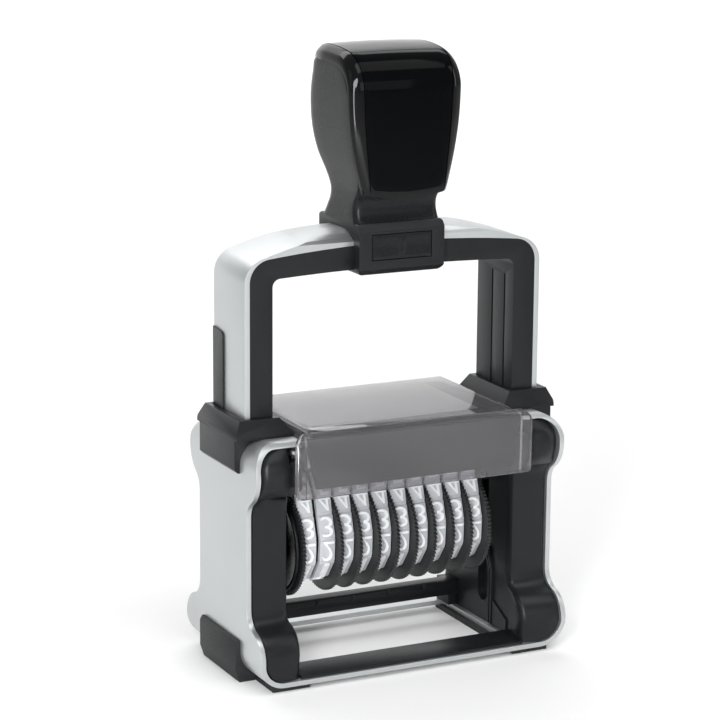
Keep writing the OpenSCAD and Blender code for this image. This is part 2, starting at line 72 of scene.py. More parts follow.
def smooth_step(a, b, v):
    t = min(1.0, max(0.0, (v - a) / (b - a)))
    return t * t * (3 - 2 * t)


def steps(a, b, n):
    return [a + (b - a) * i / n for i in range(n + 1)]


def spline(rows, v):
    """Smooth curve through rows of (position, value, value, ...), read at position v."""
    v = min(max(v, rows[0][0]), rows[-1][0])
    i = max(k for k in range(len(rows) - 1) if rows[k][0] <= v)
    a, b = rows[i], rows[i + 1]
    before = rows[i - 1] if i else a
    after = rows[i + 2] if i + 2 < len(rows) else b
    span = b[0] - a[0]
    t = (v - a[0]) / span
    out = []
    for k in range(1, len(a)):
        ta = (b[k] - before[k]) / (b[0] - before[0]) * span
        tb = (after[k] - a[k]) / (after[0] - a[0]) * span
        out.append((2 * t**3 - 3 * t**2 + 1) * a[k] + (t**3 - 2 * t**2 + t) * ta
                   + (3 * t**2 - 2 * t**3) * b[k] + (t**3 - t**2) * tb)
    return out


def arc(cx, cy, r, a0, a1, n):
    """Points on an arc, angles in degrees."""
    turns = [math.radians(a) for a in steps(a0, a1, n)]
    return [(cx + r * math.cos(t), cy + r * math.sin(t)) for t in turns]


def loft(bm, rings, closed=True):
    """Skin over rings that have the same number of points; closed rings get a cap at both ends."""
    made = [[bm.verts.new(p) for p in ring] for ring in rings]
    n = len(made[0])
    last = n if closed else n - 1
    for a, b in zip(made, made[1:]):
        for i in range(last):
            bm.faces.new((a[i], a[(i + 1) % n], b[(i + 1) % n], b[i]))
    if closed:
        bm.faces.new(made[0][::-1])
        bm.faces.new(made[-1])
    return made


def outline_of(rows):
    """The vertices round the edge of an open grid, in order."""
    return rows[0] + [r[-1] for r in rows[1:-1]] + rows[-1][::-1] + [r[0] for r in rows[-2:0:-1]]


def prism(bm, outline, low, high, axis):
    """Outline drawn in the other two axes, extruded along axis (0, 1 or 2) from low to high."""
    rings = []
    for level in (low, high):
        ring = []
        for p in outline:
            q = list(p)
            q.insert(axis, level)
            ring.append(q)
        rings.append(ring)
    loft(bm, rings)


def box(bm, x0, x1, y0, y1, z0, z1):
    prism(bm, [(x0, y0), (x1, y0), (x1, y1), (x0, y1)], z0, z1, 2)


def finish_mesh(bm, name):
    bmesh.ops.recalc_face_normals(bm, faces=bm.faces)
    bmesh.ops.scale(bm, vec=(MM, MM, MM), verts=bm.verts)
    mesh = bpy.data.meshes.new(name)
    bm.to_mesh(mesh)
    bm.free()
    mesh.polygons.foreach_set("use_smooth", [True] * len(mesh.polygons))
    obj = bpy.data.objects.new(name, mesh)
    bpy.context.scene.collection.objects.link(obj)
    return obj


def bevel(obj, width, segments=3, angle=34):
    """Rounds the edges sharper than angle, width in millimetres."""
    mod = obj.modifiers.new("edge_round", "BEVEL")
    mod.width = width * MM
    mod.segments = segments
    mod.limit_method = "ANGLE"
    mod.angle_limit = math.radians(angle)
    mod.harden_normals = True
    mod.use_clamp_overlap = True
    mod.miter_outer = "MITER_ARC"
    return obj


def split_sharp(obj, angle):
    """Keeps edges sharper than angle crisp on a smooth-shaded piece."""
    obj.modifiers.new("edges", "EDGE_SPLIT").split_angle = math.radians(angle)


def dress(obj, material, body, slot, *replaced):
    """Material, body and replaced CAD nodes of a piece; the slot argument is not used."""
    obj.data.materials.clear()
    obj.data.materials.append(material)
    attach(obj, body)
    if replaced:
        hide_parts(*replaced)
    return obj


def clone(node, name):
    """New piece from a CAD node's surface, with its flat faces joined up so that its edges can be rounded."""
    bm = bmesh.new()
    bm.from_mesh(nodes[node].data)
    bmesh.ops.scale(bm, vec=(1 / MM,) * 3, verts=bm.verts)
    bmesh.ops.remove_doubles(bm, verts=bm.verts, dist=0.0005)
    bmesh.ops.dissolve_limit(bm, angle_limit=math.radians(0.6), verts=bm.verts, edges=bm.edges)
    return finish_mesh(bm, name)


def carve(obj, cutter):
    """Takes the cutter away from the piece and removes the cutter."""
    mod = obj.modifiers.new("carve", "BOOLEAN")
    mod.object = cutter
    mod.solver = "EXACT"
    graph = bpy.context.evaluated_depsgraph_get()
    mesh = bpy.data.meshes.new_from_object(obj.evaluated_get(graph))
    obj.modifiers.remove(mod)
    obj.data = mesh
    bpy.data.objects.remove(cutter)
    return obj


# ---------------------------------------------------------------- materials

class Mat:
    """A node material built round one Principled shader."""

    def __init__(self, name):
        self.mat = bpy.data.materials.new(name)
        self.mat.use_nodes = True
        self.tree = self.mat.node_tree
        self.tree.nodes.clear()
        self.shader = self.tree.nodes.new("ShaderNodeBsdfPrincipled")
        out = self.tree.nodes.new("ShaderNodeOutputMaterial")
        self.link(self.shader.outputs[0], out.inputs[0])
        self.coords = self.tree.nodes.new("ShaderNodeTexCoord")

    def link(self, a, b):
        self.tree.links.new(a, b)

    def set(self, **values):
        for key, value in values.items():
            self.shader.inputs[key.replace("_", " ")].default_value = value

    def noise(self, scale, detail=4.0, rough=0.55, stretch=None):
        node = self.tree.nodes.new("ShaderNodeTexNoise")
        node.inputs["Scale"].default_value = scale
        node.inputs["Detail"].default_value = detail
        node.inputs["Roughness"].default_value = rough
        source = self.coords.outputs["Object"]
        if stretch:
            mapping = self.tree.nodes.new("ShaderNodeMapping")
            mapping.inputs["Scale"].default_value = stretch
            self.link(source, mapping.inputs[0])
            source = mapping.outputs[0]
        self.link(source, node.inputs["Vector"])
        return node.outputs[0]

    def to_range(self, source, low, high, start=0.3, end=0.7):
        node = self.tree.nodes.new("ShaderNodeMapRange")
        node.inputs["From Min"].default_value = start
        node.inputs["From Max"].default_value = end
        node.inputs["To Min"].default_value = low
        node.inputs["To Max"].default_value = high
        self.link(source, node.inputs["Value"])
        return node.outputs[0]

    def tint(self, source, dark, light):
        node = self.tree.nodes.new("ShaderNodeValToRGB")
        node.color_ramp.elements[0].position = 0.3
        node.color_ramp.elements[1].position = 0.7
        node.color_ramp.elements[0].color = (*dark, 1)
        node.color_ramp.elements[1].color = (*light, 1)
        self.link(source, node.inputs[0])
        self.link(node.outputs[0], self.shader.inputs["Base Color"])

    def bump(self, source, strength, distance):
        node = self.tree.nodes.new("ShaderNodeBump")
        node.inputs["Strength"].default_value = strength
        node.inputs["Distance"].default_value = distance
        self.link(source, node.inputs["Height"])
        self.link(node.outputs[0], self.shader.inputs["Normal"])

    def roughness(self, source, low, high):
        self.link(self.to_range(source, low, high), self.shader.inputs["Roughness"])


def moulded(name, colour, rough, spread=0.05, vary=0.1, grain=2400, strength=0.1, **extra):
    """Moulded plastic or rubber: cloudy colour, fine grain in the bump and the gloss."""
    m = Mat(name)
    cloud = m.noise(70, 3)
    fine = m.noise(grain, 2)
    m.tint(cloud, tuple(c * (1 - vary) for c in colour), tuple(c * (1 + vary) for c in colour))
    m.roughness(fine, rough - spread, rough + spread)
    m.bump(fine, strength, 0.00003)
    m.set(**extra)
    return m.mat


def silver_lacquer():
    m = Mat("silver_lacquer")
    flake = m.noise(9000, 2)
    cloud = m.noise(25, 2)
    m.tint(flake, (0.50, 0.52, 0.525), (0.585, 0.605, 0.61))
    m.roughness(cloud, 0.36, 0.44)
    m.bump(flake, 0.04, 0.00002)
    m.set(Metallic=0.85, Coat_Weight=0.15, Coat_Roughness=0.15)
    return m.mat


def drawn_steel():
    m = Mat("drawn_steel")
    streak = m.noise(900, 3, stretch=(1, 1, 0.05))
    m.tint(streak, (0.45, 0.45, 0.47), (0.62, 0.62, 0.64))
    m.roughness(streak, 0.2, 0.38)
    m.set(Metallic=1.0)
    return m.mat


def smoke_clear():
    m = Mat("smoke_clear")
    cloud = m.noise(60, 2)
    m.tint(cloud, (0.52, 0.51, 0.53), (0.57, 0.56, 0.58))
    m.set(Roughness=0.015, Transmission_Weight=0.92, IOR=1.46, Specular_IOR_Level=0.2)
    return m.mat


def ink_felt():
    m = Mat("ink_felt")
    fibre = m.noise(1500, 5, 0.7)
    m.tint(fibre, (0.010, 0.010, 0.02), (0.03, 0.03, 0.05))
    m.roughness(fibre, 0.8, 1.0)
    m.bump(fibre, 0.6, 0.0002)
    m.set(Sheen_Weight=0.3)
    return m.mat


SILVER = silver_lacquer()
# painted light: a pale grey sheet under the clear lid stands in for the light that the lid's top reflects
LID_PAINTED_LIGHT = moulded("lid_painted_light", (0.76, 0.765, 0.78), 0.35, 0.05, 0.04, 600, 0.02)
STEEL = drawn_steel()
SMOKE = smoke_clear()
FELT = ink_felt()
BLACK = moulded("black_moulding", (0.0085, 0.0098, 0.0112), 0.34, Specular_IOR_Level=0.26)
DARK = moulded("satin_moulding", (0.006, 0.0068, 0.0078), 0.30, 0.04, Specular_IOR_Level=0.22)
GLOSS = moulded("grip_polish", (0.0022, 0.0024, 0.0030), 0.08, 0.02, 0.1, 400, 0.01, Specular_IOR_Level=0.22)
# painted shade: a darker, barely reflecting copy of the grip gloss, standing in for a dark reflection on the
# front plate
PLATE_PAINTED_SHADE = moulded("plate_gloss_painted_shade", (0.0016, 0.0018, 0.0022), 0.07, 0.02, 0.1, 400, 0.01, Specular_IOR_Level=0.06)
RUBBER = moulded("foot_rubber", (0.008, 0.009, 0.010), 0.6, 0.08, 0.15, 1800, 0.2)
WHEEL = moulded("wheel_moulding", (0.016, 0.018, 0.019), 0.42, 0.06)
BAND = moulded("band_rubber", (0.90, 0.90, 0.92), 0.5, 0.06, 0.03, 1800, 0.12,
               Subsurface_Weight=0.15, Subsurface_Scale=0.001)
# painted shade: a darker copy of the white band rubber for the band's body round the raised digits, where the
# recesses fall in shade
BAND_PAINTED_SHADE = moulded("band_ground", (0.52, 0.53, 0.56), 0.6, 0.06, 0.06, 1800, 0.15)
CASE = moulded("case_moulding", (0.019, 0.019, 0.021), 0.5, 0.05, 0.05, 120, 0.004, Specular_IOR_Level=0.15)

BY_SLOT = {
    "silver_shell": SILVER, "black_plastic": BLACK, "foot_rubber": RUBBER, "steel": STEEL,
    "smoke_cover": SMOKE, "ink_felt": FELT, "grip_gloss": DARK, "window_gloss": GLOSS,
    "wheel_plastic": WHEEL, "band_rubber": BAND,
}


def carry_over():
    """Every CAD node gets its material; the ones that are replaced below are hidden again."""
    for part in frame["record"]["subparts"]:
        node = nodes[part["node"]]
        node.data.materials.clear()
        node.data.materials.append(CASE if part["node"] == "pad_case" else BY_SLOT[part["material_slot"]])


# ---------------------------------------------------------------- base

base_low, base_high = cad("base_shell")
# half depths of the side at its waist and at the table, and how far it draws in below the lower lobe
waist, foot_y, foot_draw = 13.9, base_high.y, 0.9
# centres and radii of the lobes above and below the waist, and the fillet into the waist
fillet = 5.0
low_y, low_z, low_r = 15.9, 8.0, 6.5
top_y, top_z, top_r = 11.6, 52.0, 8.0
# radii of the shell's bends, measured inside the sheet
sheet = 1.2
corner_low, corner_top = 6.5 - sheet, 6.0 - sheet


def side_depth(z):
    """Half depth of the waisted side at height z."""
    fb = low_z + math.sqrt((low_r + fillet) ** 2 - (waist + fillet - low_y) ** 2)
    ft = top_z - math.sqrt((top_r + fillet) ** 2 - (waist + fillet - top_y) ** 2)
    tb = low_z + (fb - low_z) * low_r / (low_r + fillet)
    tt = top_z - (top_z - ft) * top_r / (top_r + fillet)
    if z < low_z:
        return foot_y - foot_draw * (low_z - z) / (low_z - base_low.z)
    if z < tb:
        return low_y + math.sqrt(low_r**2 - (z - low_z) ** 2)
    if z < fb:
        return waist + fillet - math.sqrt(fillet**2 - (fb - z) ** 2)
    if z < ft:
        return waist
    if z < tt:
        return waist + fillet - math.sqrt(fillet**2 - (z - ft) ** 2)
    return top_y + math.sqrt(top_r**2 - (z - top_z) ** 2)


# inner face of the side frame below and above its step, and how far its front lies inside the shell's edge
wall_in, wall_in_top, step_z0, step_z1 = 30.0, 31.45, 45.6, 46.2
recess = 0.5
frame_low, frame_high = cad("inner_frame_right")


def outer_x(z):
    """Where the frame meets the inside of the shell, round its corners."""
    x = frame_high.x
    bottom, top = frame_low.z + corner_low, frame_high.z - corner_top
    if z < bottom:
        return x - corner_low + math.sqrt(max(0.0, corner_low**2 - (bottom - z) ** 2))
    if z > top:
        return x - corner_top + math.sqrt(max(0.0, corner_top**2 - (z - top) ** 2))
    return x


def front_depth(u, z):
    """Depth of the frame's front face, u from the inner edge 0 to the shell 1."""
    depth = side_depth(z) - recess
    if 40 < z < 46.35:
        # below the shoulder the face stays flat at its inner edge, with a groove and a bead across it
        flat = min(depth, waist - recess)
        groove = 0.9 * math.exp(-(((z - 45.7) / 0.45) ** 2))
        bead = 0.25 * math.exp(-(((z - 44.3) / 0.6) ** 2))
        depth = lerp(flat, depth, u**1.5) + (bead - groove) * (1 - u)
    crown = 0.9 * smooth_step(46.3, 49.5, z) * (1 - smooth_step(55, 58, z)) + 0.12
    return depth + crown * (1 - (2 * u - 1) ** 2) - crown * 0.4


def frame_slice(z):
    """Loop of points round the frame at height z, in (x, y), for the right-hand side."""
    out = outer_x(z)
    inner = lerp(wall_in, wall_in_top, smooth_step(step_z0, step_z1, z))
    # how far the foot of the frame has widened: 0 above it, 1 at the table
    foot = smooth_step(21, 12, z)

    def wall_x(y):
        return inner - 0.4 * foot * smooth_step(13.2, 20.5, abs(y))

    def round_off(gap, r):
        return r - math.sqrt(max(0.0, r**2 - (r - gap) ** 2)) if gap < r else 0.0

    r_in = lerp(1.0, 1.3, foot)
    r_out = lerp(0.7, 2.2, smooth_step(46.3, 49, z))
    x0 = wall_x(side_depth(z) - recess)
    front = []
    for u in steps(0, 1, 16):
        x = lerp(x0, out, u)
        d = front_depth(u, z) - 1.5 * foot * (1 - u) ** 1.5
        front.append((x, d - round_off(x - x0, r_in) - round_off(out - x, r_out)))
    inner_y, outer_y = front[0][1], front[-1][1]
    loop = [(x, -d) for x, d in front]
    loop += [(out, y) for y in steps(-outer_y, outer_y, 6)[1:-1]]
    loop += [(x, d) for x, d in reversed(front)]
    loop += [(wall_x(y), y) for y in steps(inner_y, -inner_y, 20)[1:-1]]
    return loop


def side_frame(sign, name, node):
    """Black frame inside the shell, less the leg's well, the pin's slot and the cartridge's runner."""
    bm = bmesh.new()
    # levels lie closer together where the face bends
    levels = steps(frame_low.z, 20, 26) + steps(21, 40, 8) + steps(41, 44.6, 9)
    levels += steps(44.8, 46.9, 14) + steps(47.3, frame_high.z - 0.2, 24)
    loft(bm, [[(sign * x, y, z) for x, y in frame_slice(z)] for z in levels])
    obj = finish_mesh(bm, name)

    cut = bmesh.new()
    well_x, well_y, slot_r, slot_top, slot_low = 31.8, 9.2, 2.4, 42.05, 10.05
    runner_x, runner_z0, runner_z1 = 30.2, 54.6, 56.9
    box(cut, *sorted((sign * well_x, sign * 45)), -well_y, well_y, -1, 66)
    slot = arc(0, slot_top, slot_r, 0, 180, 12) + arc(0, slot_low, slot_r, 180, 360, 12)
    prism(cut, slot, *sorted((sign * 25, sign * 35)), 0)
    box(cut, *sorted((sign * 25, sign * runner_x)), -25, 25, runner_z0, runner_z1)
    carve(obj, finish_mesh(cut, name + "_cut"))
    obj.data.polygons.foreach_set("use_smooth", [True] * len(obj.data.polygons))
    split_sharp(obj, 38)
    return dress(obj, BLACK, "base", "black_plastic", node)


def shoulder_block(sign, name):
    """Block of the frame that reaches in to the cartridge, below its runner."""
    bm = bmesh.new()
    deep, bottom, top, cut_y, cut_z = 17.2, 45.7, 54.4, 14.5, 48.6
    half = [(deep, top), (deep, cut_z), (cut_y, bottom)]
    outline = [(-y, z) for y, z in half] + half[::-1]
    prism(bm, outline, *sorted((sign * 28.35, sign * 31.7)), 0)
    return dress(bevel(finish_mesh(bm, name), 0.3, 3), BLACK, "base", "black_plastic")


def wall_ribs(sign, name):
    """Two guide ribs and a sloped clip on the inside of the side wall."""
    bm = bmesh.new()
    x0, x1 = sorted((sign * (wall_in - 0.7), sign * (wall_in + 0.6)))
    low, high, half = 3.0, 22.5, 0.35
    for y in (-3.9, -5.1):
        rib = [(y - half, low), (y + half, low), (y + half, 17.0)]
        rib += [(y + 2.6, high), (y + 1.9, high), (y - half, 17.3)]
        prism(bm, rib, x0, x1, 0)
    clip = [(-5.6, low), (-12.6, low), (-12.6, 6.2), (-5.6, 9.4)]
    prism(bm, clip, *sorted((sign * (wall_in - 0.4), sign * 31)), 0)
    obj = bevel(finish_mesh(bm, name), 0.15, 2)
    return dress(obj, BLACK, "base", "black_plastic")


def base_pieces():
    shell = bevel(clone("base_shell", "shell_sheet"), 0.42, 4)
    dress(shell, SILVER, "base", "silver_shell", "base_shell")
    for sign, side in ((-1, "left"), (1, "right")):
        side_frame(sign, "side_frame_" + side, "inner_frame_" + side)
        wall_ribs(sign, "wall_ribs_" + side)
        shoulder_block(sign, "shoulder_block_" + side)
        collar = bevel(clone("collar_" + side, "shoulder_collar_" + side), 0.4, 4)
        dress(collar, BLACK, "base", "black_plastic", "collar_" + side)
        foot = bevel(clone("foot_" + side, "rubber_foot_" + side), 0.3, 3)
        dress(foot, RUBBER, "base", "foot_rubber", "foot_" + side)
    for node, name in (("rail_front", "front_rail"), ("rail_rear", "rear_rail")):
        dress(bevel(clone(node, name), 0.22, 3), BLACK, "base", "black_plastic", node)


def springs():
    """Round-wire coils in place of the CAD return springs."""
    wire, turns, around, sides = 0.4, 13, 26, 8
    # lower end and top of each coil come from its CAD spring
    for side in ("left", "right"):
        low, high = cad("return_spring_" + side)
        cx, cy = (low.x + high.x) / 2, (low.y + high.y) / 2
        radius = (high.x - low.x) / 2 - wire
        bm = bmesh.new()
        rings = []
        total = turns * around
        for i in range(total + 1):
            t = i / total
            a = 2 * math.pi * turns * t
            z = lerp(low.z + wire, high.z - wire, t)
            ring = []
            for k in range(sides):
                b = 2 * math.pi * k / sides
                r = radius + wire * math.cos(b)
                ring.append((cx + r * math.cos(a), cy + r * math.sin(a), z + wire * math.sin(b)))
            rings.append(ring)
        loft(bm, rings)
        obj = finish_mesh(bm, "coil_spring_" + side)
        dress(obj, STEEL, "base", "steel", "return_spring_" + side)
        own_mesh(obj)


# ---------------------------------------------------------------- yoke and grip

def yoke_pieces():
    dress(bevel(clone("yoke_shell", "yoke_skin"), 0.42, 4), SILVER, "yoke", "silver_shell", "yoke_shell")
    black = (("yoke_liner", "yoke_core", 0.4, 4), ("leg_strips", "leg_inlays", 0.15, 2),
             ("lock_housing", "lock_block", 0.45, 4))
    for node, name, width, segments in black:
        dress(bevel(clone(node, name), width, segments), BLACK, "yoke", "black_plastic", node)


def lock_button():
    """Rectangular button with a hollow face and a plain raised bar."""
    low, high = cad("lock_button")
    bm = bmesh.new()
    cx, cz = (low.x + high.x) / 2, (low.z + high.z) / 2
    hw, hh = (high.x - low.x) / 2, (high.z - low.z) / 2
    front, back = -12.35, -9.5
    hollow_d, bar_d, edge_d = 0.55, 0.3, 0.5
    nx, nz = 40, 16
    face = []
    for j in range(nz + 1):
        row = []
        for i in range(nx + 1):
            u, v = 2 * i / nx - 1, 2 * j / nz - 1
            edge = max(abs(u) ** 10, abs(v) ** 5)
            hollow = hollow_d * (1 - v * v) * (1 - u**8)
            bar = bar_d * (1 - smooth_step(0.55, 0.95, abs(u) * 8)) * (1 - smooth_step(0.4, 0.7, abs(v)))
            row.append((cx + hw * u, front + hollow - bar + edge_d * edge, cz + hh * v))
        face.append(row)
    made = loft(bm, face, closed=False)
    rim = outline_of(made)
    rear = [bm.verts.new((v.co.x, back, v.co.z)) for v in rim]
    n = len(rim)
    for i in range(n):
        bm.faces.new((rim[i], rim[(i + 1) % n], rear[(i + 1) % n], rear[i]))
    bm.faces.new(rear)
    obj = finish_mesh(bm, "lock_key")
    split_sharp(obj, 40)
    dress(obj, DARK, "lock", "black_plastic", "lock_button")


# grip sections: height, half width, front, rear, front corner, rear corner
GRIP_ROWS = [
    (107.4, 11.15, 10.8, 10.9, 2.0, 4.0),
    (108.3, 11.10, 10.1, 10.2, 2.0, 4.0),
    (110.5, 11.00, 9.3, 8.7, 2.0, 4.0),
    (112.8, 10.95, 9.5, 7.3, 1.8, 4.0),
    (115.2, 11.05, 11.0, 7.2, 1.2, 4.2),
    (118.5, 11.75, 12.2, 8.6, 0.4, 4.8),
    (123.5, 12.95, 12.25, 12.0, 0.4, 6.0),
    (129.0, 13.90, 12.25, 13.6, 0.4, 6.8),
    (135.0, 14.45, 12.2, 13.7, 0.4, 7.2),
    (139.0, 14.55, 11.9, 13.1, 0.5, 7.2),
    (142.4, 14.50, 10.8, 12.1, 1.2, 7.0),
    (144.7, 14.45, 9.0, 11.3, 2.4, 6.6),
    (145.75, 14.20, 6.8, 10.1, 3.4, 6.4),
]


def rounded_loop(w, front, rear, rf, rr, n=9):
    """Loop in (x, y): rounded rectangle with its own front and rear corner radii."""
    loop = arc(w - rf, -front + rf, rf, -90, 0, n)
    loop += arc(w - rr, rear - rr, rr, 0, 90, n)
    loop += arc(-w + rr, rear - rr, rr, 90, 180, n)
    loop += arc(-w + rf, -front + rf, rf, 180, 270, n)
    out = []
    for a, b in zip(loop, loop[1:] + loop[:1]):
        out.append(a)
        gap = math.dist(a, b)
        if gap > 3:
            out += [(lerp(a[0], b[0], t), lerp(a[1], b[1], t)) for t in (0.2, 0.4, 0.6, 0.8)]
    return out


def grip_body():
    """Satin body of the grip, lofted through GRIP_ROWS."""
    bm = bmesh.new()
    rings = []
    for z in steps(GRIP_ROWS[0][0], GRIP_ROWS[-1][0], 60):
        w, front, rear, rf, rr = spline(GRIP_ROWS, z)
        rings.append([(x, y, z) for x, y in rounded_loop(w, front, rear, rf, rr)])
    top, w, front, rear, rf, rr = GRIP_ROWS[-1]
    for inset, lift in ((0.25, 0.12), (0.7, 0.2)):
        loop = rounded_loop(w - inset, front - inset, rear - inset, rf - inset, rr - inset)
        rings.append([(x, y, top + lift) for x, y in loop])
    loft(bm, rings)
    obj = finish_mesh(bm, "grip_body")
    split_sharp(obj, 50)
    return dress(obj, DARK, "yoke", "grip_gloss", "grip_core")


def bezier(p0, p1, p2, p3, n):
    out = []
    for t in steps(0, 1, n):
        weights = ((1 - t) ** 3, 3 * t * (1 - t) ** 2, 3 * t * t * (1 - t), t**3)
        out.append(tuple(sum(w * p[k] for w, p in zip(weights, (p0, p1, p2, p3))) for k in (0, 1)))
    return out


def hood_line():
    """Stations (y, z, ny, nz) along the glossy hood: up the front, over the top and down behind."""
    line = [(lerp(-14.75, -14.85, t), lerp(115.4, 139.2, t)) for t in steps(0, 1, 30)]
    brow, bend, heel = (-14.85, 139.2), (-8.0, 148.2), (6.0, 148.9)
    line += bezier(brow, (-14.9, 143.6), (-12.4, 147.1), bend, 20)[1:]
    line += bezier(bend, (-5.2, 148.9), (1.6, 149.5), heel, 14)[1:]
    line += bezier(heel, (7.9, 148.7), (9.5, 147.8), (9.9, 145.8), 12)[1:]
    out = []
    for k, (y, z) in enumerate(line):
        a, b = line[max(0, k - 1)], line[min(len(line) - 1, k + 1)]
        size = math.dist(a, b)
        out.append((y, z, -(b[1] - a[1]) / size, (b[0] - a[0]) / size))
    return out


HOOD = hood_line()
# half width of the hood and of the plate in its front, by height
HOOD_ROWS = [
    (115.0, 11.00, 9.30),
    (116.5, 11.20, 9.45),
    (120.5, 12.20, 9.90),
    (124.3, 13.05, 10.30),
    (128.2, 13.75, 10.65),
    (132.2, 14.25, 10.95),
    (136.0, 14.50, 11.10),
    (140.0, 14.60, 11.30),
    (149.6, 14.60, 11.90),
]


def hood_width(station):
    """Half widths of the hood and of its flat middle, drawn in towards the rear."""
    y, z = HOOD[station][:2]
    tuck = 0.9 * smooth_step(1, 9.9, y)
    return [v - tuck for v in spline(HOOD_ROWS, z)]


def hood_drop(station):
    """How far the hood's edge lies below its face."""
    return lerp(2.45, 3.4, smooth_step(139, 147, HOOD[station][1]))


def hood_point(station, x, lift=0.0):
    """Point on the hood's surface at a station and sideways place x, raised by lift."""
    y, z, ny, nz = HOOD[station]
    half, flat = hood_width(station)
    a = abs(x)
    crown, groove, chin = 0.25, 0.3, 1.3
    drop = crown * min(1.0, a / flat) ** 2
    if a >= flat:
        t = min(1.0, (a - flat) / (half - flat))
        soft, full = 0.75 * t**2, 1 - math.sqrt(max(0.0, 1 - t**2))
        drop += (hood_drop(station) - crown) * lerp(soft, full, smooth_step(0.55, 1, t))
    # fine groove round the plate
    if 0.1 < a - flat < 0.35 and not lift:
        drop += groove
    # the lower edge hangs down in the middle
    sag = chin * (1 - min(1.0, a / half) ** 2) * smooth_step(12, 0, station)
    d = lift - drop
    return (x, y + ny * d - sag * nz, z + nz * d + sag * ny)


def grip_hood():
    """Glossy hood over the front and top of the grip, lofted from station to station."""
    bm = bmesh.new()
    outer = []
    last = len(HOOD) - 1
    for i in range(last + 1):
        ny, nz = HOOD[i][2:]
        half, flat = hood_width(i)
        xs = [flat * k / 8 for k in range(-8, 9)]
        side = [flat + v for v in (0.06, 0.12, 0.32, 0.38, 0.5)]
        side += [side[-1] + (half - side[-1]) * math.sin(math.radians(a)) for a in steps(0, 90, 12)[1:]]
        xs = [-v for v in reversed(side)] + xs + side
        # the two ends are rolled in
        roll = {0: 0.7, 1: 0.2, last: 0.5, last - 1: 0.15}.get(i, 0.0)
        ring = [hood_point(i, x * (1 - 0.012 * roll), -roll * 0.6) for x in xs]
        closing = [(q[0], q[1] - ny * 0.4, q[2] - nz * 0.4) for q in (ring[-1], ring[0])]
        outer.append(ring + closing)
    loft(bm, outer)
    obj = finish_mesh(bm, "grip_hood")
    split_sharp(obj, 42)
    return dress(obj, GLOSS, "yoke", "window_gloss", "grip_window")


def grip_plate():
    """The plain front plate, let into the hood, with a fine rounded edge."""
    bm = bmesh.new()
    first, last, columns = 2, 50, 26
    lift, dip, rim_width = 0.14, 0.13, 0.3
    corner_r, corner_share = 0.9, 1 / 14
    rows = []
    for i in range(first, last + 1):
        half = hood_width(i)[1] + 0.05
        t = (i - first) / (last - first) / corner_share
        if t < 1:
            half -= corner_r * (1 - math.sqrt(1 - (1 - t) ** 2))
        row = []
        for u in steps(-1, 1, columns):
            edge = 1.0 if i in (first, last) else (1 - min(1.0, (1 - abs(u)) * half / rim_width)) ** 2
            row.append(hood_point(i, u * half, lift - dip * edge))
        rows.append(row)
    made = loft(bm, rows, closed=False)
    rim = outline_of(made)
    inner = []
    for v in rim:
        i = min(range(len(HOOD)), key=lambda k: (HOOD[k][0] - v.co.y) ** 2 + (HOOD[k][1] - v.co.z) ** 2)
        ny, nz = HOOD[i][2:]
        inner.append(bm.verts.new((v.co.x, v.co.y - ny * 0.5, v.co.z - nz * 0.5)))
    n = len(rim)
    for k in range(n):
        bm.faces.new((rim[k], rim[(k + 1) % n], inner[(k + 1) % n], inner[k]))
    bm.faces.new(inner)
    obj = finish_mesh(bm, "grip_plate")
    split_sharp(obj, 42)
    # the plate takes the darker copy of the grip gloss: painted shade on its reflection
    return dress(obj, PLATE_PAINTED_SHADE, "yoke", "window_gloss")


# ---------------------------------------------------------------- cartridge

def cartridge():
    """Clear cover, a pale sheet under its lid that paints the light on the lid's top, and the dark case
    inside.
    """
    cover = bevel(clone("pad_cover", "clear_cover"), 0.22, 3)
    dress(cover, SMOKE, "cartridge", "smoke_cover", "pad_cover")
    bm = bmesh.new()
    # the sheet of painted light stops short of the right end, where the dark case shows through
    left, right, front, rear, under, over = -26.2, 19.5, -14.6, 15.4, 61.1, 61.3
    box(bm, left, right, front, rear, under, over)
    light_sheet = bevel(finish_mesh(bm, "lid_painted_light"), 0.08, 2)
    dress(light_sheet, LID_PAINTED_LIGHT, "cartridge", "smoke_cover")
    case = bevel(clone("pad_case", "ink_case"), 0.25, 2)
    dress(case, CASE, "cartridge", "black_plastic", "pad_case")


# ---------------------------------------------------------------- bands

def band_path():
    """Closed outer path of a band in (y, z), starting at the middle of the print face, front side first."""
    low, high = cad("band_1")
    r = high.y
    cz = low.z + r
    tip_half, tip_r = 4.7, 2.28
    tip_y, tip_z = tip_half - tip_r, high.z - tip_r
    # tangent from the tip's arc to the wheel's arc, front side
    dist = math.hypot(tip_y, tip_z - cz)
    a = math.degrees(math.asin((r - tip_r) / dist) - math.atan2(tip_y, tip_z - cz))
    left = [(0.0, high.z)] + arc(-tip_y, tip_z, tip_r, 90, 180 - a, 8)
    left += arc(0, cz, r, 180 - a, 270, 40)
    right = [(-y, z) for y, z in reversed(left[1:-1])]
    return left + right


def walk(path, distance):
    """Point on the closed path at a distance along it."""
    n = len(path)
    for i in range(n):
        a, b = path[i], path[(i + 1) % n]
        gap = math.dist(a, b)
        if distance <= gap:
            t = distance / gap
            return (lerp(a[0], b[0], t), lerp(a[1], b[1], t))
        distance -= gap
    return path[0]


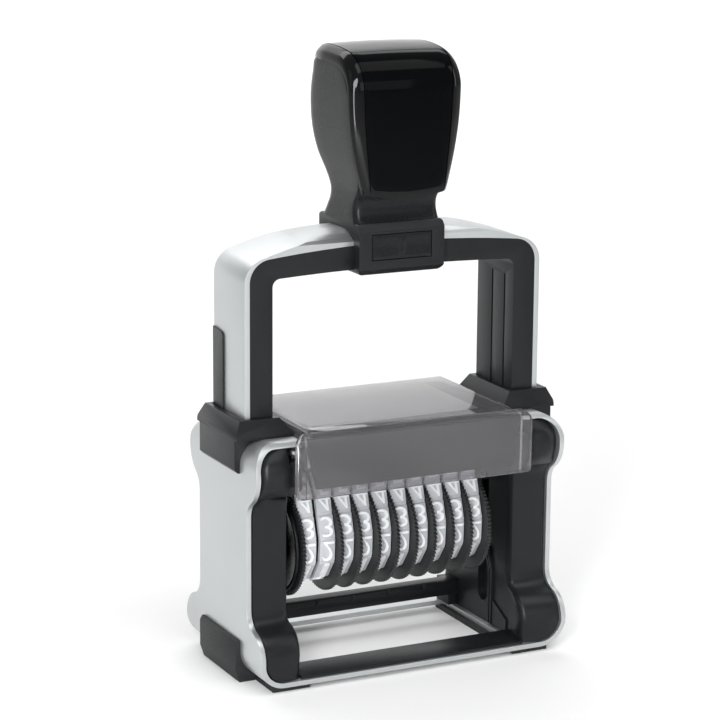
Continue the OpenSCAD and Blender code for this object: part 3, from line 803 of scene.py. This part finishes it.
def digit_mesh(character):
    """Vertices and faces of a digit as a raised block, 1 unit in each direction, centred on its foot."""
    curve = bpy.data.curves.new("digit", "FONT")
    curve.body = character
    curve.align_x = "CENTER"
    curve.extrude = 0.12
    curve.offset = -0.004
    curve.resolution_u = 3
    obj = bpy.data.objects.new("digit", curve)
    bpy.context.scene.collection.objects.link(obj)
    graph = bpy.context.evaluated_depsgraph_get()
    mesh = bpy.data.meshes.new_from_object(obj.evaluated_get(graph))
    bpy.data.objects.remove(obj)
    low = [min(v.co[k] for v in mesh.vertices) for k in range(3)]
    size = [max(v.co[k] for v in mesh.vertices) - low[k] for k in range(3)]
    verts = []
    for v in mesh.vertices:
        u, w, h = ((v.co[k] - low[k]) / size[k] for k in range(3))
        verts.append((u - 0.5, w - 0.5, h))
    faces = [tuple(p.vertices) for p in mesh.polygons]
    bpy.data.meshes.remove(mesh)
    return verts, faces


# characters and blanks round a band, and how deep the rubber lies between the raised characters
CELLS = 14
RELIEF = 0.5
FOLD, THICK, SIDE_CUT = 0.75, 1.62, 0.12
INSIDE = Vector((0, 36))


def cell_axes(a, b):
    """Direction along a cell from fold a to fold b, and the direction out of the band."""
    along = (b - a).normalized()
    out = Vector((-along.y, along.x))
    return along, (out if out.dot((a + b) / 2 - INSIDE) >= 0 else -out)


def band_folds():
    """The cells' corners along the path, and the number of the cell that shows a 3 in front."""
    path = band_path()
    length = sum(math.dist(a, b) for a, b in zip(path, path[1:] + path[:1]))
    cell = length / CELLS
    # one fold down the front lies at this height, and the 3 has its middle at the next one
    fold_z, three_z = 32.4, 35.3
    best, shift = None, 0.0
    for k in range(200):
        start = cell * k / 200
        folds = [walk(path, (start + cell * i) % length) for i in range(2, 5)]
        gap = min(abs(f[1] - fold_z) for f in folds)
        if best is None or gap < best:
            best, shift = gap, start
    corners = [Vector(walk(path, (shift + cell * i) % length)) for i in range(CELLS)]

    def off_three(i):
        behind = 10 if corners[i].x > 0 else 0
        return abs((corners[i].y + corners[(i + 1) % CELLS].y) / 2 - three_z) + behind

    return corners, min(range(CELLS), key=off_three)


def band_strip(bm, corners, x0, x1):
    """The band itself between x0 and x1: flat cells with a fine groove at each fold."""
    outer, inner = [], []
    for a, b in zip(corners, corners[1:] + corners[:1]):
        out = cell_axes(a, b)[1]
        for t, sink in ((0.0, FOLD), (0.055, 0.72), (0.075, RELIEF), (0.925, RELIEF), (0.945, 0.72)):
            outer.append((a + (b - a) * t) - out * sink)
            inner.append((a + (b - a) * t) - out * THICK)
    made = []
    for x, trim in ((x0, 0.1), (x0 + SIDE_CUT, 0.0), (x1 - SIDE_CUT, 0.0), (x1, 0.1)):
        edge = [q + (w - q) * trim for q, w in zip(outer, inner)]
        made.append([[bm.verts.new((x, *q)) for q in ring] for ring in (edge, inner)])
    n = len(outer)
    for (oa, ia), (ob, ib) in zip(made, made[1:]):
        for k in range(n):
            m = (k + 1) % n
            bm.faces.new((oa[k], oa[m], ob[m], ob[k]))
            bm.faces.new((ia[k], ib[k], ib[m], ia[m]))
    for ring_out, ring_in in (made[0], made[-1]):
        for k in range(n):
            m = (k + 1) % n
            bm.faces.new((ring_out[k], ring_out[m], ring_in[m], ring_in[k]))


def raised_digit(bm, digit, a, b, mid_x, wide):
    """A digit on the cell between folds a and b; its top points along the path, so it prints readable."""
    tall, root, crown = 4.9, 0.1, 0.04
    along, out = cell_axes(a, b)
    verts, faces = digit
    placed = []
    for u, v, h in verts:
        q = (a + b) / 2 + along * (v * tall) - out * lerp(RELIEF + root, crown, h)
        placed.append(bm.verts.new((mid_x + u * wide, *q)))
    for f in faces:
        bm.faces.new([placed[k] for k in f])


def bands():
    digits = [digit_mesh(str(k)) for k in range(10)]
    corners, three = band_folds()
    for number in range(1, 11):
        low, high = cad("band_%d" % number)
        bm = bmesh.new()
        band_strip(bm, corners, low.x, high.x)
        shaded_faces = len(bm.faces)
        mid_x = (low.x + high.x) / 2
        for i in range(CELLS):
            # 4, 3, 2, 1, 0 down the front, then four blanks, then 9 to 5
            value = (3 - (i - three)) % CELLS
            if value < 10:
                wide = 1.3 if value == 1 else 3.0
                raised_digit(bm, digits[value], corners[i], corners[(i + 1) % CELLS], mid_x, wide)
        obj = finish_mesh(bm, "number_band_%d" % number)
        split_sharp(obj, 30)
        dress(obj, BAND, "carriage", "band_rubber", "band_%d" % number)
        # the band's body takes the darker copy, painted shade in the recesses; the raised digits keep the
        # plain rubber
        obj.data.materials.append(BAND_PAINTED_SHADE)
        raised = len(obj.data.polygons) - shaded_faces
        obj.data.polygons.foreach_set("material_index", [1] * shaded_faces + [0] * raised)


# ---------------------------------------------------------------- carriage ends

def end_discs():
    """Dished discs with a hub and the arm that reaches up to the pivot."""
    bore, around = 1.55, 72
    for side in ("left", "right"):
        low, high = cad("end_plate_" + side)
        radius = high.y
        cz = low.z + radius
        out = low.x if side == "left" else high.x
        inn = high.x if side == "left" else low.x
        bm = bmesh.new()
        # radius and share of the thickness: bore, flat inner face, rolled rim, dish, hub
        profile = [(bore, 0), (radius - 0.5, 0), (radius, 0.4), (radius - 0.1, 0.8), (radius - 0.6, 1),
                   (radius - 1.4, 0.75), (5.2, 0.45), (4.6, 0.6), (4.2, 1), (bore, 1)]
        made = []
        for a in steps(0, 2 * math.pi, around)[:-1]:
            c, d = math.cos(a), math.sin(a)
            made.append([bm.verts.new((lerp(inn, out, t), r * c, cz + r * d)) for r, t in profile])
        for k in range(around):
            ra, rb = made[k], made[(k + 1) % around]
            for i in range(len(profile)):
                j = (i + 1) % len(profile)
                bm.faces.new((ra[i], ra[j], rb[j], rb[i]))
        half_arm = [(5.4, cz + 4), (5.0, 43.5), (3.9, 49.9)]
        arm = half_arm + [(-y, z) for y, z in reversed(half_arm)]
        prism(bm, arm, *sorted((inn, lerp(inn, out, 0.8))), 0)
        obj = bevel(finish_mesh(bm, "end_disc_" + side), 0.15, 2, 40)
        dress(obj, DARK, "carriage", "black_plastic", "end_plate_" + side)


def carriage():
    bands()
    end_discs()
    # the wheels keep their CAD mesh; flat shading shows the teeth
    for k in range(1, 11):
        wheel = nodes["wheel_%d" % k].data.polygons
        wheel.foreach_set("use_smooth", [False] * len(wheel))


# ---------------------------------------------------------------- stage, light, camera

def backdrop():
    """Pale paper floor that bends up into a wall, in metres."""
    bm = bmesh.new()
    near, bend, bend_r, top, half = -1.6, 0.9, 0.6, 2.6, 3.0
    profile = [(near, 0.0), (bend, 0.0)] + arc(bend, bend_r, bend_r, -90, 0, 20)[1:] + [(bend + bend_r, top)]
    rows = [[bm.verts.new((x, y, z)) for y, z in profile] for x in (-half, half)]
    for i in range(len(profile) - 1):
        bm.faces.new((rows[0][i], rows[1][i], rows[1][i + 1], rows[0][i + 1]))
    mesh = bpy.data.meshes.new("backdrop")
    bm.normal_update()
    bm.to_mesh(mesh)
    bm.free()
    mesh.polygons.foreach_set("use_smooth", [True] * len(mesh.polygons))
    obj = bpy.data.objects.new("backdrop", mesh)
    bpy.context.scene.collection.objects.link(obj)
    m = Mat("studio_paper")
    m.tint(m.noise(3, 2), (0.93, 0.93, 0.93), (0.95, 0.95, 0.95))
    m.set(Roughness=0.9, Specular_IOR_Level=0.1)
    mesh.materials.append(m.mat)


def softbox(name, place, target, wide, tall, power):
    """Rectangular area light of so many watts at place, turned towards target."""
    light = bpy.data.lights.new(name, "AREA")
    light.energy = power
    light.shape = "RECTANGLE"
    light.size = wide
    light.size_y = tall
    obj = bpy.data.objects.new(name, light)
    bpy.context.scene.collection.objects.link(obj)
    obj.location = place
    obj.rotation_euler = (Vector(target) - Vector(place)).to_track_quat("-Z", "Y").to_euler()


def studio():
    backdrop()
    softbox("top_front", (0.05, -0.35, 0.9), (0, 0, 0.08), 0.9, 0.5, 3.0)
    softbox("left_side", (-0.85, -0.1, 0.45), (0, 0, 0.07), 0.45, 0.7, 0.5)
    softbox("right_strip", (0.6, -0.35, 0.35), (0, 0, 0.08), 0.12, 0.6, 0.7)
    softbox("left_strip", (-0.32, -0.40, 0.20), (0, 0, 0.13), 0.09, 0.40, 2.2)
    softbox("front_fill", (0.1, -0.8, 0.25), (0, 0, 0.05), 0.6, 0.3, 0.6)
    softbox("backdrop_wash", (0.2, 1.0, 1.2), (0.3, 1.4, 0), 1.6, 0.8, 14.0)
    world = bpy.data.worlds.new("studio_world")
    world.use_nodes = True
    sky = world.node_tree.nodes["Background"]
    sky.inputs[0].default_value = (1, 1, 1, 1)
    sky.inputs[1].default_value = 0.36
    bpy.context.scene.world = world
    bpy.context.scene.view_settings.view_transform = "Standard"


def camera():
    """Long lens from the front left, a little above the stamp."""
    data = bpy.data.cameras.new("camera")
    obj = bpy.data.objects.new("camera", data)
    bpy.context.scene.collection.objects.link(obj)
    data.lens = 132.32
    data.sensor_width = 36.0
    data.clip_start = 0.01
    data.clip_end = 20
    yaw, down, roll = (math.radians(a) for a in (26.459, 13.063, 0.435))
    ahead = Vector((math.sin(yaw) * math.cos(down), math.cos(yaw) * math.cos(down), -math.sin(down)))
    right = Vector((math.cos(yaw), -math.sin(yaw), 0))
    up = right.cross(ahead)
    c, d = math.cos(roll), math.sin(roll)
    axes = (right * c + up * d, up * c - right * d, -ahead)
    world = Matrix(axes).transposed().to_4x4()
    world.translation = Vector((-0.28091, -0.55461, 0.21662))
    obj.matrix_world = world
    bpy.context.scene.camera = obj


carry_over()
studio()
camera()
base_pieces()
springs()
yoke_pieces()
lock_button()
grip_body()
grip_hood()
grip_plate()
cartridge()
carriage()
